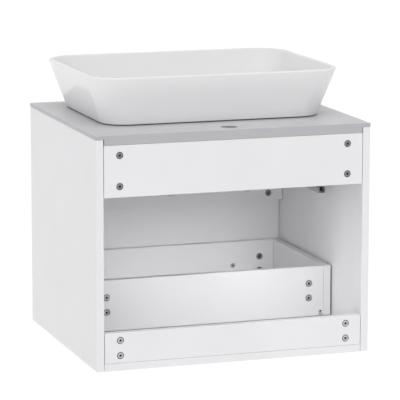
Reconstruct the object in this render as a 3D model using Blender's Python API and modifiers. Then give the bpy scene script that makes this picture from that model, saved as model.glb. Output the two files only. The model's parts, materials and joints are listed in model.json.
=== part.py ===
"""A wall-hung washbasin unit: a white two-drawer cabinet, a grey countertop and a vessel basin.

Blender 4.5, metres, +Z up. The drawers open towards -Y, and the open back of the cabinet stands
against a wall at +Y. The origin is at the middle of the base. Each visible object is one physical
piece, and each group of pieces that slides together hangs under its own empty.
"""

import math

import bmesh
import bpy
from mathutils import Matrix, Vector

# Cabinet
WIDTH = 0.600  # over the countertop
DEPTH = 0.510  # wall plane to the front edges of the side panels
TOP = 0.490  # upper face of the countertop
BOARD = 0.016  # melamine-faced board
SLAB = 0.020  # countertop, whole thickness
SLAB_LIP = 0.008  # what is left of the countertop above the side panels
SIDE_INSET = 0.0007  # side panels stand this far inside the ends of the countertop
GAP = 0.0003  # between pieces that touch
FRONT_GAP = 0.002  # round the drawer fronts, which close between the side panels
TOP_RAIL = 0.1077
BOTTOM_RAIL = 0.064
MID_RAIL = 0.064
MID_RAIL_Z = 0.247
STRETCHER_DEPTH = 0.080

WALL_Y = DEPTH / 2
FACE_Y = -DEPTH / 2
RAIL_FRONT_Y = FACE_Y + BOARD + FRONT_GAP
SIDE_OUT = WIDTH / 2 - SIDE_INSET
SIDE_IN = SIDE_OUT - BOARD
RAIL_END = SIDE_IN - 0.0006
FRONT_HALF_WIDTH = SIDE_IN - FRONT_GAP
SLAB_BOTTOM = TOP - SLAB
TOP_RAIL_Z = SLAB_BOTTOM - GAP - TOP_RAIL
BOTTOM_RAIL_Z = BOARD + GAP

# Cam fasteners: a cam turned in the face of a board draws in a bolt from the board it meets
CAM_R = 0.0072
CAM_BORE_R = 0.0076
CAM_DEPTH = 0.0121
CAM_INSET = 0.0002  # a cam lies this far below the face of its board
CAM_SETBACK = 0.034  # cam's centre from the end of its board
BOLT_R = 0.0034
BOLT_BORE_R = 0.0040
BOLT_REACH = 0.0105  # how far a bolt goes into the board it comes from
RECESS = (0.0064, 0.0015, 0.0022)  # one bar of the driver's cross
# Heights of the cams above the lower edge of their board
TOP_RAIL_CAMS = (0.0226, 0.0866)
BOTTOM_RAIL_CAMS = (0.0155, 0.0475)
MID_RAIL_CAMS = (0.0165, 0.0485)
BOX_CAMS = (0.042, 0.074)

# Drawer boxes
BOX_REAR_Y = WALL_Y - 0.165
BOX_HEIGHT = 0.1115
BOX_OUT = 0.279  # outer faces of the box sides
BOX_IN = BOX_OUT - BOARD
LOWER_BOX_Z = 0.0435
UPPER_BOX_Z = 0.3315
FLOOR_LIFT = 0.016  # underside of the box floor above the lower edge of its sides
FLOOR = 0.008
GROOVE = 0.005  # how far the floor goes into the sides
GRIP_HEIGHT = 0.018  # bevel behind the top edge of a drawer front, for the fingers
GRIP_DEPTH = 0.011
LOWER_FRONT = (0.003, 0.262)  # lower and upper edge
UPPER_FRONT = (0.284, 0.448)
BOX_FRONT_Y = FACE_Y + BOARD + GAP
SUB_FRONT_REAR_Y = BOX_FRONT_Y + BOARD
BACK_FRONT_Y = BOX_REAR_Y - BOARD

# Cut-out of the upper drawer, which leaves room for the waste pipe
CUTOUT_HALF = 0.080
CUTOUT_DEPTH = 0.173
LINER = 0.003
LINER_FLANGE = 0.012
LINER_DROP = 0.0035  # how far the rear flanges reach below the box

# Drawer runners, placed from the lower edge of the box sides
SHEET = 0.0012
RUNNER_BOTTOM = -0.016
RUNNER_FLANGE_TOP = 0.019
RUNNER_X = (0.2485, 0.2635)  # inner and outer edges of the track
RUNNER_MIDDLE_X = (0.2509, 0.2611)
RUNNER_DRAWER_X = (0.2533, 0.2587)
RUNNER_TRACK = 0.012  # height of the track's uprights
RUNNER_CUTBACK = 0.070  # the flange on the side panel ends this far before the track's rear end
RUNNER_REAR_Y = WALL_Y - 0.163
RUNNER_FRONT_Y = WALL_Y - 0.488
HOOK_X = BOX_IN - 0.007
HOOK_Z = 0.0112
HOOK_R = 0.0025
HOOK_HOLE_R = 0.0031

# Basin: half sizes and corner radius at the foot and at the rim
BASIN_Y = WALL_Y - 0.290
BASIN_Z = TOP + 0.002
BASIN_HEIGHT = 0.103
FOOT = (0.2425, 0.1752, 0.0545)
RIM = (0.2773, 0.2100, 0.0710)
WALL = 0.0100
FLOOR_CORNER = 0.026  # radius between the wall and the floor of the bowl
BOWL_FLOOR_Z = 0.0135
DRAIN_Z = 0.011
UNDERSIDE_Z = 0.004
FOOT_RING = 0.022
DRAIN_R = 0.023
CORNER_STEPS = 8

# Holes in the countertop
WASTE_HOLE_R = 0.027
TAP_HOLE_R = 0.0175
TAP_HOLE_Y = WALL_Y - 0.040

# Waste: flanged tube, washer and nut below the countertop, and a plug that is pressed to close
TUBE_R = 0.0205
TUBE_BORE_R = 0.0185
FLANGE_R = 0.032
FLANGE = 0.003
TUBE_END_Z = 0.412
PLUG_R = 0.028
PLUG_TRAVEL = 0.008
STEM_R = 0.0045
GUIDE_Z = 0.478

PARTS = bpy.data.collections.new("vessel_basin_vanity")
CUTTERS = bpy.data.collections.new("cutters")


def start_clean():
    for old in list(bpy.data.objects):
        bpy.data.objects.remove(old, do_unlink=True)
    for collection in (PARTS, CUTTERS):
        bpy.context.scene.collection.children.link(collection)


def material(name, colour, roughness, metallic=0.0):
    """A Principled material of one colour."""
    made = bpy.data.materials.new(name)
    made.use_nodes = True
    shader = made.node_tree.nodes["Principled BSDF"]
    shader.inputs["Base Color"].default_value = (*colour, 1.0)
    shader.inputs["Roughness"].default_value = roughness
    shader.inputs["Metallic"].default_value = metallic
    return made


def add(name, data, finish, location=(0, 0, 0), parent=None):
    """A new object in the object's own collection, at a place given in world space."""
    obj = bpy.data.objects.new(name, data)
    PARTS.objects.link(obj)
    obj.location = location
    if finish:
        data.materials.append(finish)
    if parent:
        obj.parent = parent
        obj.matrix_parent_inverse = Matrix.Translation(-parent.location)
    return obj


def group(name, location):
    """An empty that a set of sliding pieces hangs under."""
    empty = bpy.data.objects.new(name, None)
    PARTS.objects.link(empty)
    empty.location = location
    return empty


def helper(obj):
    """Moves an object to the cutters, where it isn't a piece of the unit."""
    PARTS.objects.unlink(obj)
    CUTTERS.objects.link(obj)
    obj.hide_render = True
    obj.display_type = "WIRE"
    return obj


def box(name, low, high, finish=None, parent=None):
    """A box between two corners, with its origin at its middle."""
    low = Vector(low)
    high = Vector(high)
    mesh = bpy.data.meshes.new(name)
    shape = bmesh.new()
    bmesh.ops.create_cube(shape, size=1.0)
    bmesh.ops.scale(shape, vec=high - low, verts=shape.verts)
    shape.to_mesh(mesh)
    shape.free()
    return add(name, mesh, finish, (low + high) / 2, parent)


def cylinders(name, rods, finish=None, parent=None, sides=16):
    """One mesh of separate cylinders, each given as (start, end, radius)."""
    mesh = bpy.data.meshes.new(name)
    shape = bmesh.new()
    for start, end, radius in rods:
        start = Vector(start)
        along = Vector(end) - start
        turn = along.to_track_quat("Z", "Y").to_matrix().to_4x4()
        bmesh.ops.create_cone(
            shape,
            cap_ends=True,
            segments=sides,
            radius1=radius,
            radius2=radius,
            depth=along.length,
            matrix=Matrix.Translation(start + along / 2) @ turn,
        )
    shape.to_mesh(mesh)
    shape.free()
    return add(name, mesh, finish, parent=parent)


def turned(name, profile, finish, centre, sides=32, closed=True, parent=None):
    """A profile of (radius, z) turned about a vertical axis. It runs down its outer side."""
    mesh = bpy.data.meshes.new(name)
    points = [(radius, 0.0, z) for radius, z in profile]
    edges = [(i, i + 1) for i in range(len(points) - 1)]
    if closed:
        edges.append((len(points) - 1, 0))
    mesh.from_pydata(points, edges, [])
    obj = add(name, mesh, finish, centre, parent)
    screw = obj.modifiers.new("turn", "SCREW")
    screw.steps = sides
    screw.render_steps = sides
    screw.use_merge_vertices = True
    screw.merge_threshold = 0.00001
    screw.use_smooth_shade = False
    return obj


def extrusion(name, outline, axis, start, end, finish=None, parent=None):
    """A flat outline of (y, z) or (x, z) points, drawn along X or Y from start to end."""
    mesh = bpy.data.meshes.new(name)
    shape = bmesh.new()
    middle = (start + end) / 2
    rows = []
    for along in (start - middle, end - middle):
        if axis == "X":
            rows.append([shape.verts.new((along, across, up)) for across, up in outline])
        else:
            rows.append([shape.verts.new((across, along, up)) for across, up in outline])
    for row in rows:
        shape.faces.new(row)
    for i in range(len(outline)):
        j = (i + 1) % len(outline)
        shape.faces.new((rows[0][i], rows[0][j], rows[1][j], rows[1][i]))
    bmesh.ops.recalc_face_normals(shape, faces=shape.faces)
    shape.to_mesh(mesh)
    shape.free()
    centre = (middle, 0, 0) if axis == "X" else (0, middle, 0)
    return add(name, mesh, finish, centre, parent)


def combine(obj, operation, *others):
    """Cuts the others out of obj, or joins them to it."""
    for other in others:
        modifier = obj.modifiers.new(other.name, "BOOLEAN")
        modifier.operation = operation
        modifier.object = other
        modifier.solver = "EXACT"


def rounded_ring(half_x, half_y, radius, z, steps=CORNER_STEPS):
    """Points round a rectangle with round corners, starting at the corner in +X +Y."""
    points = []
    for corner in range(4):
        side_x = 1 if corner in (0, 3) else -1
        side_y = 1 if corner in (0, 1) else -1
        for step in range(steps + 1):
            angle = math.pi / 2 * (corner + step / steps)
            x = side_x * (half_x - radius) + radius * math.cos(angle)
            y = side_y * (half_y - radius) + radius * math.sin(angle)
            points.append((x, y, z))
    return points


def round_ring(radius, z, steps=CORNER_STEPS):
    """As many points as rounded_ring gives, evenly round a circle and in step with its corners."""
    count = 4 * (steps + 1)
    turn = 2 * math.pi / count
    return [
        (radius * math.cos(turn * (i + 0.5)), radius * math.sin(turn * (i + 0.5)), z)
        for i in range(count)
    ]


def loft(name, rings, finish, centre):
    """A closed surface through a loop of rings, the last of which joins the first."""
    mesh = bpy.data.meshes.new(name)
    shape = bmesh.new()
    rows = [[shape.verts.new(point) for point in ring] for ring in rings]
    for row, after in zip(rows, rows[1:] + rows[:1]):
        for i in range(len(row)):
            j = (i + 1) % len(row)
            shape.faces.new((row[i], row[j], after[j], after[i]))
    bmesh.ops.recalc_face_normals(shape, faces=shape.faces)
    shape.to_mesh(mesh)
    shape.free()
    return add(name, mesh, finish, centre)


def cam_fasteners(board, names, heights, ends, face, finish, parent, mates, end_x):
    """Cams in the face of a board, near its ends, and the bores that they and their bolts need.

    names holds one name for each height at each end; face is (y, outward direction along Y);
    mates holds the board at each end that a bolt comes from.
    """
    face_y, outward = face
    bolt_y = face_y - outward * BOARD / 2
    cam_bores = []
    bolt_bores = []
    for end, mate in zip(ends, mates):
        cam_x = end * (end_x - CAM_SETBACK)
        mate_bores = []
        for height in heights:
            name = names.pop(0)
            head_y = face_y - outward * CAM_INSET
            foot_y = head_y - outward * CAM_DEPTH
            cam = cylinders(
                name,
                [((cam_x, foot_y, height), (cam_x, head_y, height), CAM_R)],
                finish,
                parent,
            )
            bolt_start = cam_x + end * (CAM_R - 0.002)
            bolt_end = end * (end_x + GAP + BOLT_REACH)
            bolt = cylinders(
                name + "_bolt",
                [((bolt_start, bolt_y, height), (bolt_end, bolt_y, height), BOLT_R)],
                sides=10,
            )
            combine(cam, "UNION", helper(bolt))
            length, width, depth = RECESS
            for bar, (half_x, half_z) in enumerate(((length, width), (width, length))):
                cutter = box(
                    f"{name}_recess_{bar}",
                    (cam_x - half_x / 2, head_y - depth, height - half_z / 2),
                    (cam_x + half_x / 2, head_y + depth, height + half_z / 2),
                )
                combine(cam, "DIFFERENCE", helper(cutter))
            bore_foot_y = foot_y - outward * CAM_INSET
            mouth_y = face_y + outward * 0.002
            cam_bores.append(
                ((cam_x, bore_foot_y, height), (cam_x, mouth_y, height), CAM_BORE_R)
            )
            past_end = end * (end_x + 0.002)
            bolt_bores.append(
                ((cam_x, bolt_y, height), (past_end, bolt_y, height), BOLT_BORE_R)
            )
            blind_end = bolt_end + end * 0.0005
            inside = end * (end_x - 0.001)
            mate_bores.append(
                ((inside, bolt_y, height), (blind_end, bolt_y, height), BOLT_BORE_R)
            )
        side = "right" if end > 0 else "left"
        drill = cylinders(f"{board.name}_{side}_mate_bores", mate_bores, sides=12)
        combine(mate, "DIFFERENCE", helper(drill))
    drill = cylinders(board.name + "_cam_bores", cam_bores, sides=24)
    combine(board, "DIFFERENCE", helper(drill))
    drill = cylinders(board.name + "_bolt_bores", bolt_bores, sides=12)
    combine(board, "DIFFERENCE", helper(drill))


def cam_names(prefix, count=2):
    """Names for the cams of one board: its left end from the bottom up, then its right end."""
    return [f"{prefix}_cam_{side}_{i + 1}" for side in ("left", "right") for i in range(count)]


def carcass(white, steel):
    """Side panels, base and rails. The back stays open for the pipes."""
    front = RAIL_FRONT_Y
    sides = [
        box(
            "left_side_panel",
            (-SIDE_OUT, FACE_Y, 0),
            (-SIDE_IN, WALL_Y, TOP - SLAB_LIP - GAP),
            white,
        ),
        box(
            "right_side_panel",
            (SIDE_IN, FACE_Y, 0),
            (SIDE_OUT, WALL_Y, TOP - SLAB_LIP - GAP),
            white,
        ),
    ]
    box("base_panel", (-RAIL_END, front, 0), (RAIL_END, WALL_Y, BOARD), white)
    rear_y = WALL_Y - BOARD
    top_rail = box(
        "rear_top_rail",
        (-RAIL_END, rear_y, TOP_RAIL_Z),
        (RAIL_END, WALL_Y, TOP_RAIL_Z + TOP_RAIL),
        white,
    )
    bottom_rail = box(
        "rear_bottom_rail",
        (-RAIL_END, rear_y, BOTTOM_RAIL_Z),
        (RAIL_END, WALL_Y, BOTTOM_RAIL_Z + BOTTOM_RAIL),
        white,
    )
    mid_rail = box(
        "front_mid_rail",
        (-RAIL_END, front, MID_RAIL_Z),
        (RAIL_END, front + BOARD, MID_RAIL_Z + MID_RAIL),
        white,
    )
    stretcher_top = SLAB_BOTTOM - GAP
    box(
        "front_top_stretcher",
        (-RAIL_END, front, stretcher_top - BOARD),
        (RAIL_END, front + STRETCHER_DEPTH, stretcher_top),
        white,
    )
    wall_face = (WALL_Y, 1)
    inner_face = (front + BOARD, 1)
    fitted = (
        (top_rail, "rear_top_rail", wall_face, TOP_RAIL_CAMS, TOP_RAIL_Z),
        (bottom_rail, "rear_bottom_rail", wall_face, BOTTOM_RAIL_CAMS, BOTTOM_RAIL_Z),
        (mid_rail, "front_mid_rail", inner_face, MID_RAIL_CAMS, MID_RAIL_Z),
    )
    for board, prefix, face, rises, low in fitted:
        heights = [low + rise for rise in rises]
        cam_fasteners(
            board, cam_names(prefix), heights, (-1, 1), face, steel, None, sides, RAIL_END
        )


def countertop(grey):
    """A slab that is rebated to sit over the side panels, with holes for a tap and the waste."""
    half = WIDTH / 2
    body = SIDE_IN - GAP
    lip_z = TOP - SLAB_LIP
    outline = [
        (-half, TOP),
        (-half, lip_z),
        (-body, lip_z),
        (-body, SLAB_BOTTOM),
        (body, SLAB_BOTTOM),
        (body, lip_z),
        (half, lip_z),
        (half, TOP),
    ]
    slab = extrusion("countertop", outline, "Y", FACE_Y, WALL_Y, grey)
    below = SLAB_BOTTOM - 0.01
    above = TOP + 0.01
    tap = ((0, TAP_HOLE_Y, below), (0, TAP_HOLE_Y, above), TAP_HOLE_R)
    waste = ((0, BASIN_Y, below), (0, BASIN_Y, above), WASTE_HOLE_R)
    combine(slab, "DIFFERENCE", helper(cylinders("countertop_holes", [tap, waste], sides=32)))


def scaled(section, inset):
    """A (half x, half y, corner radius) section moved in by inset all round."""
    return tuple(size - inset for size in section)


def between(low, high, share):
    """A section part of the way from one to another."""
    return tuple(a + (b - a) * share for a, b in zip(low, high))


def basin(ceramic):
    """A straight-sided vessel on a foot ring, with a round-cornered bowl and a drain hole."""
    edge = 0.003  # rounding of the foot and of the rim
    rings = []
    for share in (0.0, 0.5, 1.0):
        turn = share * math.pi / 2
        inset = edge * (1 - math.sin(turn))
        rings.append(rounded_ring(*scaled(FOOT, inset), edge * (1 - math.cos(turn))))
    outer_top = between(FOOT, RIM, 1 - edge / BASIN_HEIGHT)
    for share in (0.0, 0.5, 1.0):
        turn = share * math.pi / 2
        height = BASIN_HEIGHT - edge * (1 - math.sin(turn))
        rings.append(rounded_ring(*scaled(outer_top, edge * (1 - math.cos(turn))), height))
    inner_top = scaled(outer_top, WALL)
    for share in (0.0, 0.5, 1.0):
        turn = share * math.pi / 2
        height = BASIN_HEIGHT - edge * (1 - math.cos(turn))
        rings.append(rounded_ring(*scaled(inner_top, edge * (math.sin(turn) - 1)), height))
    bend_z = BOWL_FLOOR_Z + FLOOR_CORNER
    bend = scaled(between(FOOT, RIM, bend_z / BASIN_HEIGHT), WALL)
    for step in range(5):
        turn = step / 4 * math.pi / 2
        inset = FLOOR_CORNER * (1 - math.cos(turn))
        height = bend_z - FLOOR_CORNER * math.sin(turn)
        rings.append(rounded_ring(*scaled(bend, inset), height))
    rings.append(round_ring(DRAIN_R + 0.001, DRAIN_Z))
    rings.append(round_ring(DRAIN_R, DRAIN_Z - 0.001))
    rings.append(round_ring(DRAIN_R, UNDERSIDE_Z))
    rings.append(rounded_ring(*scaled(FOOT, edge + FOOT_RING + 0.002), UNDERSIDE_Z))
    rings.append(rounded_ring(*scaled(FOOT, edge + FOOT_RING), 0.0))
    return loft("basin", rings, ceramic, (0, BASIN_Y, BASIN_Z))


def basin_seal(rubber):
    """The bead between the foot ring and the countertop."""
    low = TOP + GAP
    high = BASIN_Z - GAP
    outer = scaled(FOOT, 0.010)
    inner = scaled(FOOT, 0.018)
    rings = [
        rounded_ring(*outer, low),
        rounded_ring(*outer, high),
        rounded_ring(*inner, high),
        rounded_ring(*inner, low),
    ]
    loft("basin_seal", rings, rubber, (0, BASIN_Y, 0))


def waste(chrome, plastic, rubber):
    """The flanged tube, its washer and nut below the countertop, and the plug."""
    centre = (0, BASIN_Y, 0)
    seat = BASIN_Z + DRAIN_Z + GAP
    flange_top = seat + FLANGE
    profile = [
        (TUBE_BORE_R + 0.001, flange_top - 0.0012),
        (FLANGE_R - 0.002, flange_top),
        (FLANGE_R, flange_top - 0.001),
        (FLANGE_R, seat),
        (TUBE_R, seat),
        (TUBE_R, TUBE_END_Z),
        (TUBE_BORE_R, TUBE_END_Z),
        (TUBE_BORE_R, flange_top - 0.002),
    ]
    body = turned("waste_body", profile, chrome, centre)
    bar = box(
        "waste_guide_bar",
        (-TUBE_BORE_R - 0.001, BASIN_Y - 0.002, GUIDE_Z),
        (TUBE_BORE_R + 0.001, BASIN_Y + 0.002, GUIDE_Z + 0.006),
    )
    boss = cylinders(
        "waste_guide_boss",
        [((0, BASIN_Y, GUIDE_Z - 0.001), (0, BASIN_Y, GUIDE_Z + 0.012), 0.0075)],
    )
    bore = cylinders(
        "waste_guide_bore",
        [((0, BASIN_Y, GUIDE_Z - 0.01), (0, BASIN_Y, GUIDE_Z + 0.03), STEM_R + 0.0006)],
    )
    combine(body, "UNION", helper(bar), helper(boss))
    combine(body, "DIFFERENCE", helper(bore))

    washer_top = SLAB_BOTTOM - GAP
    washer_bottom = washer_top - 0.003
    ring = [
        (0.034, washer_top),
        (0.034, washer_bottom),
        (TUBE_R + 0.0006, washer_bottom),
        (TUBE_R + 0.0006, washer_top),
    ]
    turned("waste_washer", ring, rubber, centre)
    nut_top = washer_bottom - GAP
    nut = cylinders(
        "waste_nut",
        [((0, BASIN_Y, nut_top - 0.011), (0, BASIN_Y, nut_top), 0.031)],
        plastic,
        sides=6,
    )
    thread = cylinders(
        "waste_nut_bore",
        [((0, BASIN_Y, nut_top - 0.02), (0, BASIN_Y, nut_top + 0.01), TUBE_R + 0.0007)],
        sides=32,
    )
    combine(nut, "DIFFERENCE", helper(thread))

    plug_centre = (0, BASIN_Y, flange_top + PLUG_TRAVEL)
    slide = group("plug_slide", plug_centre)
    cap = 0.004
    stem_end = GUIDE_Z + 0.001 - plug_centre[2]
    plug_profile = [
        (0.0, cap + 0.0008),
        (PLUG_R * 0.6, cap + 0.0006),
        (PLUG_R - 0.001, cap),
        (PLUG_R, cap - 0.001),
        (PLUG_R, 0.0008),
        (PLUG_R - 0.004, 0.0004),
        (STEM_R, 0.0004),
        (STEM_R, stem_end),
        (0.0, stem_end),
    ]
    turned("waste_plug", plug_profile, chrome, plug_centre, closed=False, parent=slide)


def drawer_box(prefix, low, parent, white, steel, cams, cutout):
    """Sides, floor, sub-front and back of one drawer. A cut-out splits the back in two."""
    high = low + BOX_HEIGHT
    floor_low = low + FLOOR_LIFT
    floor_high = floor_low + FLOOR
    sides = []
    for side, name in ((-1, "left"), (1, "right")):
        edges = sorted((side * BOX_OUT, side * BOX_IN))
        panel = box(
            f"{prefix}_{name}_side",
            (edges[0], BOX_FRONT_Y, low),
            (edges[1], BOX_REAR_Y, high),
            white,
            parent,
        )
        groove = sorted((side * (BOX_IN - 0.002), side * (BOX_IN + GROOVE + GAP)))
        cutter = box(
            f"{prefix}_{name}_groove",
            (groove[0], SUB_FRONT_REAR_Y, floor_low - GAP),
            (groove[1], BACK_FRONT_Y, floor_high + GAP),
        )
        combine(panel, "DIFFERENCE", helper(cutter))
        sides.append(panel)
    floor = box(
        f"{prefix}_floor",
        (-BOX_IN - GROOVE, SUB_FRONT_REAR_Y + GAP, floor_low),
        (BOX_IN + GROOVE, BACK_FRONT_Y - GAP, floor_high),
        white,
        parent,
    )
    board_end = BOX_IN - GAP
    sub_front = box(
        f"{prefix}_sub_front",
        (-board_end, BOX_FRONT_Y, low),
        (board_end, SUB_FRONT_REAR_Y, high),
        white,
        parent,
    )
    backs = []
    if cutout:
        for side, name in ((-1, "left"), (1, "right")):
            edges = sorted((side * (CUTOUT_HALF + GAP), side * board_end))
            backs.append(
                box(
                    f"{prefix}_{name}_back",
                    (edges[0], BACK_FRONT_Y, low),
                    (edges[1], BOX_REAR_Y, high),
                    white,
                    parent,
                )
            )
        notch = box(
            f"{prefix}_floor_notch",
            (-CUTOUT_HALF - GAP, BOX_REAR_Y - CUTOUT_DEPTH - GAP, floor_low - 0.01),
            (CUTOUT_HALF + GAP, BOX_REAR_Y + 0.01, floor_high + 0.01),
        )
        combine(floor, "DIFFERENCE", helper(notch))
    else:
        backs.append(
            box(
                f"{prefix}_back",
                (-board_end, BACK_FRONT_Y, low),
                (board_end, BOX_REAR_Y, high),
                white,
                parent,
            )
        )
    for side in (-1, 1):
        back = backs[0] if side < 0 else backs[-1]
        hole_z = low + HOOK_Z
        hole = cylinders(
            f"{prefix}_hook_hole_{'left' if side < 0 else 'right'}",
            [
                (
                    (side * HOOK_X, BACK_FRONT_Y - 0.01, hole_z),
                    (side * HOOK_X, BOX_REAR_Y + 0.01, hole_z),
                    HOOK_HOLE_R,
                )
            ],
        )
        combine(back, "DIFFERENCE", helper(hole))
    if cams:
        heights = [low + rise for rise in BOX_CAMS]
        faces = (
            (backs[0], f"{prefix}_back", (BOX_REAR_Y, 1)),
            (sub_front, f"{prefix}_sub_front", (SUB_FRONT_REAR_Y, 1)),
        )
        for board, name, face in faces:
            cam_fasteners(
                board, cam_names(name), heights, (-1, 1), face, steel, parent, sides, board_end
            )


def drawer_front(name, edges, white, parent):
    """A front whose top edge is bevelled behind, so that fingers can pull it."""
    low, high = edges
    rear = FACE_Y + BOARD
    outline = [
        (FACE_Y, low),
        (rear, low),
        (rear, high - GRIP_HEIGHT),
        (rear - GRIP_DEPTH, high),
        (FACE_Y, high),
    ]
    half = FRONT_HALF_WIDTH
    extrusion(name, outline, "X", -half, half, white, parent)


def cutout_liner(plastic, parent):
    """A U-shaped trim round the cut-out, with flanges that cover the cut ends of the back."""
    name = "upper_drawer_cutout_liner"
    low = UPPER_BOX_Z
    high = UPPER_BOX_Z + BOX_HEIGHT
    outer = CUTOUT_HALF
    inner = CUTOUT_HALF - LINER
    end_y = BOX_REAR_Y - CUTOUT_DEPTH
    flange_y = BOX_REAR_Y + GAP
    liner = box(name, (-outer, end_y, low), (outer, flange_y + LINER, high), plastic, parent)
    room = box(
        name + "_room",
        (-inner, end_y + LINER, low - 0.01),
        (inner, flange_y + 0.02, high + 0.01),
    )
    combine(liner, "DIFFERENCE", helper(room))
    for side in (-1, 1):
        edges = sorted((side * (inner + 0.0005), side * (outer + LINER_FLANGE)))
        flange = box(
            f"{name}_flange_{'left' if side < 0 else 'right'}",
            (edges[0], flange_y, low - LINER_DROP),
            (edges[1], flange_y + LINER - GAP, high - 0.001),
        )
        combine(liner, "UNION", helper(flange))


def mirrored(outline, side):
    """An outline of (x, z) points, turned over for the left side."""
    return [(side * x, z) for x, z in outline]


def channel(edges, low, high):
    """The outline of a folded sheet: a floor with an upright at each edge."""
    inner, outer = edges
    return [
        (inner, low),
        (outer, low),
        (outer, high),
        (outer - SHEET, high),
        (outer - SHEET, low + SHEET),
        (inner + SHEET, low + SHEET),
        (inner + SHEET, high),
        (inner, high),
    ]


def fixed_runner(name, side, low, steel):
    """The track, and the flange that screws to the side panel."""
    bottom = low + RUNNER_BOTTOM
    track = mirrored(channel(RUNNER_X, bottom, bottom + RUNNER_TRACK), side)
    runner = extrusion(name, track, "Y", RUNNER_FRONT_Y, RUNNER_REAR_Y, steel)
    outer = SIDE_IN - GAP
    inner = RUNNER_X[1] - SHEET / 2
    flange = [
        (inner, bottom),
        (outer, bottom),
        (outer, low + RUNNER_FLANGE_TOP),
        (outer - SHEET, low + RUNNER_FLANGE_TOP),
        (outer - SHEET, bottom + SHEET),
        (inner, bottom + SHEET),
    ]
    wing = extrusion(
        name + "_flange",
        mirrored(flange, side),
        "Y",
        RUNNER_FRONT_Y + 0.001,
        RUNNER_REAR_Y - RUNNER_CUTBACK,
    )
    combine(runner, "UNION", helper(wing))


def runners(prefix, low, drawer, middle, steel):
    """The three nested members of the runner on each side of a drawer."""
    for side, name in ((-1, "left"), (1, "right")):
        fixed_runner(f"{prefix}_{name}_fixed_runner", side, low, steel)
        middle_low = low + RUNNER_BOTTOM + SHEET + 0.001
        sliding = channel(RUNNER_MIDDLE_X, middle_low, middle_low + RUNNER_TRACK)
        extrusion(
            f"{prefix}_{name}_middle_runner",
            mirrored(sliding, side),
            "Y",
            RUNNER_FRONT_Y + 0.010,
            RUNNER_REAR_Y - 0.005,
            steel,
            middle,
        )
        foot = middle_low + SHEET + 0.0015
        top = low + FLOOR_LIFT - GAP
        inner, outer = RUNNER_DRAWER_X
        under = top - SHEET
        carried = [
            (inner, foot),
            (inner + SHEET, foot),
            (inner + SHEET, under),
            (outer - SHEET, under),
            (outer - SHEET, foot),
            (outer, foot),
            (outer, under),
            (outer + 0.0030, under),
            (outer + 0.0030, top),
            (inner - 0.0080, top),
            (inner - 0.0080, under),
            (inner, under),
        ]
        carrier = extrusion(
            f"{prefix}_{name}_drawer_runner",
            mirrored(carried, side),
            "Y",
            SUB_FRONT_REAR_Y + 0.001,
            BACK_FRONT_Y - 0.0004,
            steel,
            drawer,
        )
        hook_z = low + HOOK_Z
        hook = cylinders(
            f"{prefix}_{name}_hook",
            [
                (
                    (side * HOOK_X, BACK_FRONT_Y - 0.012, hook_z),
                    (side * HOOK_X, BOX_REAR_Y - 0.004, hook_z),
                    HOOK_R,
                )
            ],
            sides=12,
        )
        combine(carrier, "UNION", helper(hook))


def main():
    start_clean()
    white = material("white_melamine", (0.84, 0.84, 0.85), 0.35)
    grey = material("grey_countertop", (0.50, 0.49, 0.52), 0.45)
    ceramic = material("white_glaze", (0.86, 0.86, 0.87), 0.12)
    steel = material("zinc_steel", (0.55, 0.55, 0.56), 0.35, 1.0)
    chrome = material("chrome", (0.80, 0.80, 0.82), 0.10, 1.0)
    plastic = material("grey_plastic", (0.42, 0.42, 0.43), 0.50)
    rubber = material("seal_rubber", (0.10, 0.10, 0.10), 0.80)

    carcass(white, steel)
    countertop(grey)
    basin(ceramic)
    basin_seal(rubber)
    waste(chrome, plastic, rubber)

    drawers = (
        ("lower_drawer", LOWER_BOX_Z, LOWER_FRONT, True, False),
        ("upper_drawer", UPPER_BOX_Z, UPPER_FRONT, False, True),
    )
    for prefix, low, front_edges, cams, cutout in drawers:
        moving = group(prefix + "_slide", (0, BOX_FRONT_Y, low))
        middle = group(prefix + "_middle_slide", (0, RUNNER_FRONT_Y, low))
        drawer_box(prefix, low, moving, white, steel, cams, cutout)
        drawer_front(f"{prefix}_front", front_edges, white, moving)
        runners(prefix, low, moving, middle, steel)
        if cutout:
            cutout_liner(plastic, moving)


main()
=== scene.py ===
"""A vessel basin on a two-drawer vanity, seen from its open back, for Blender 4.5.

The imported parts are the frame. This script gives them their finishes, swaps the plain solids for
detailed pieces of the same size and place, and sets up the studio. Metres, +Z up, wall side at +Y.
"""

import json
import math

import bmesh
import bpy
from mathutils import Matrix, Vector


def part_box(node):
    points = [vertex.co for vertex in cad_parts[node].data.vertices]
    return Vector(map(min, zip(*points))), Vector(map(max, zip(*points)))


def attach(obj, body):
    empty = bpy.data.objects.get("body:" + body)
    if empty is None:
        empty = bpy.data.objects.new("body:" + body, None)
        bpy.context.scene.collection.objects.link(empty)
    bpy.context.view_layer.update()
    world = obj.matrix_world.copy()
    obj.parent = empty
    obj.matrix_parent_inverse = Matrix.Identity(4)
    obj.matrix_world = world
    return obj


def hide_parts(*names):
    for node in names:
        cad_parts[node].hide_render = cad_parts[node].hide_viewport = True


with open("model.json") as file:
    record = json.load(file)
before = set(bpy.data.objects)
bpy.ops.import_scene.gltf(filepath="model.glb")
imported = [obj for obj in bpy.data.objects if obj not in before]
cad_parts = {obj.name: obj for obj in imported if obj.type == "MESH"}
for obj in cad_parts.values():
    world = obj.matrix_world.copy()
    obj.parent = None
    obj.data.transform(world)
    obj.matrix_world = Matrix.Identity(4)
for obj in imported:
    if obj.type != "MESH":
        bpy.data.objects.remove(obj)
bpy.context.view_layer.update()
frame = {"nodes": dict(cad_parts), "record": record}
SLOT = {part["node"]: part["material_slot"] for part in frame["record"]["subparts"]}
BODY = {
    node: body for body, nodes in frame["record"]["behaviour"]["bodies"].items() for node in nodes
}

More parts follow.
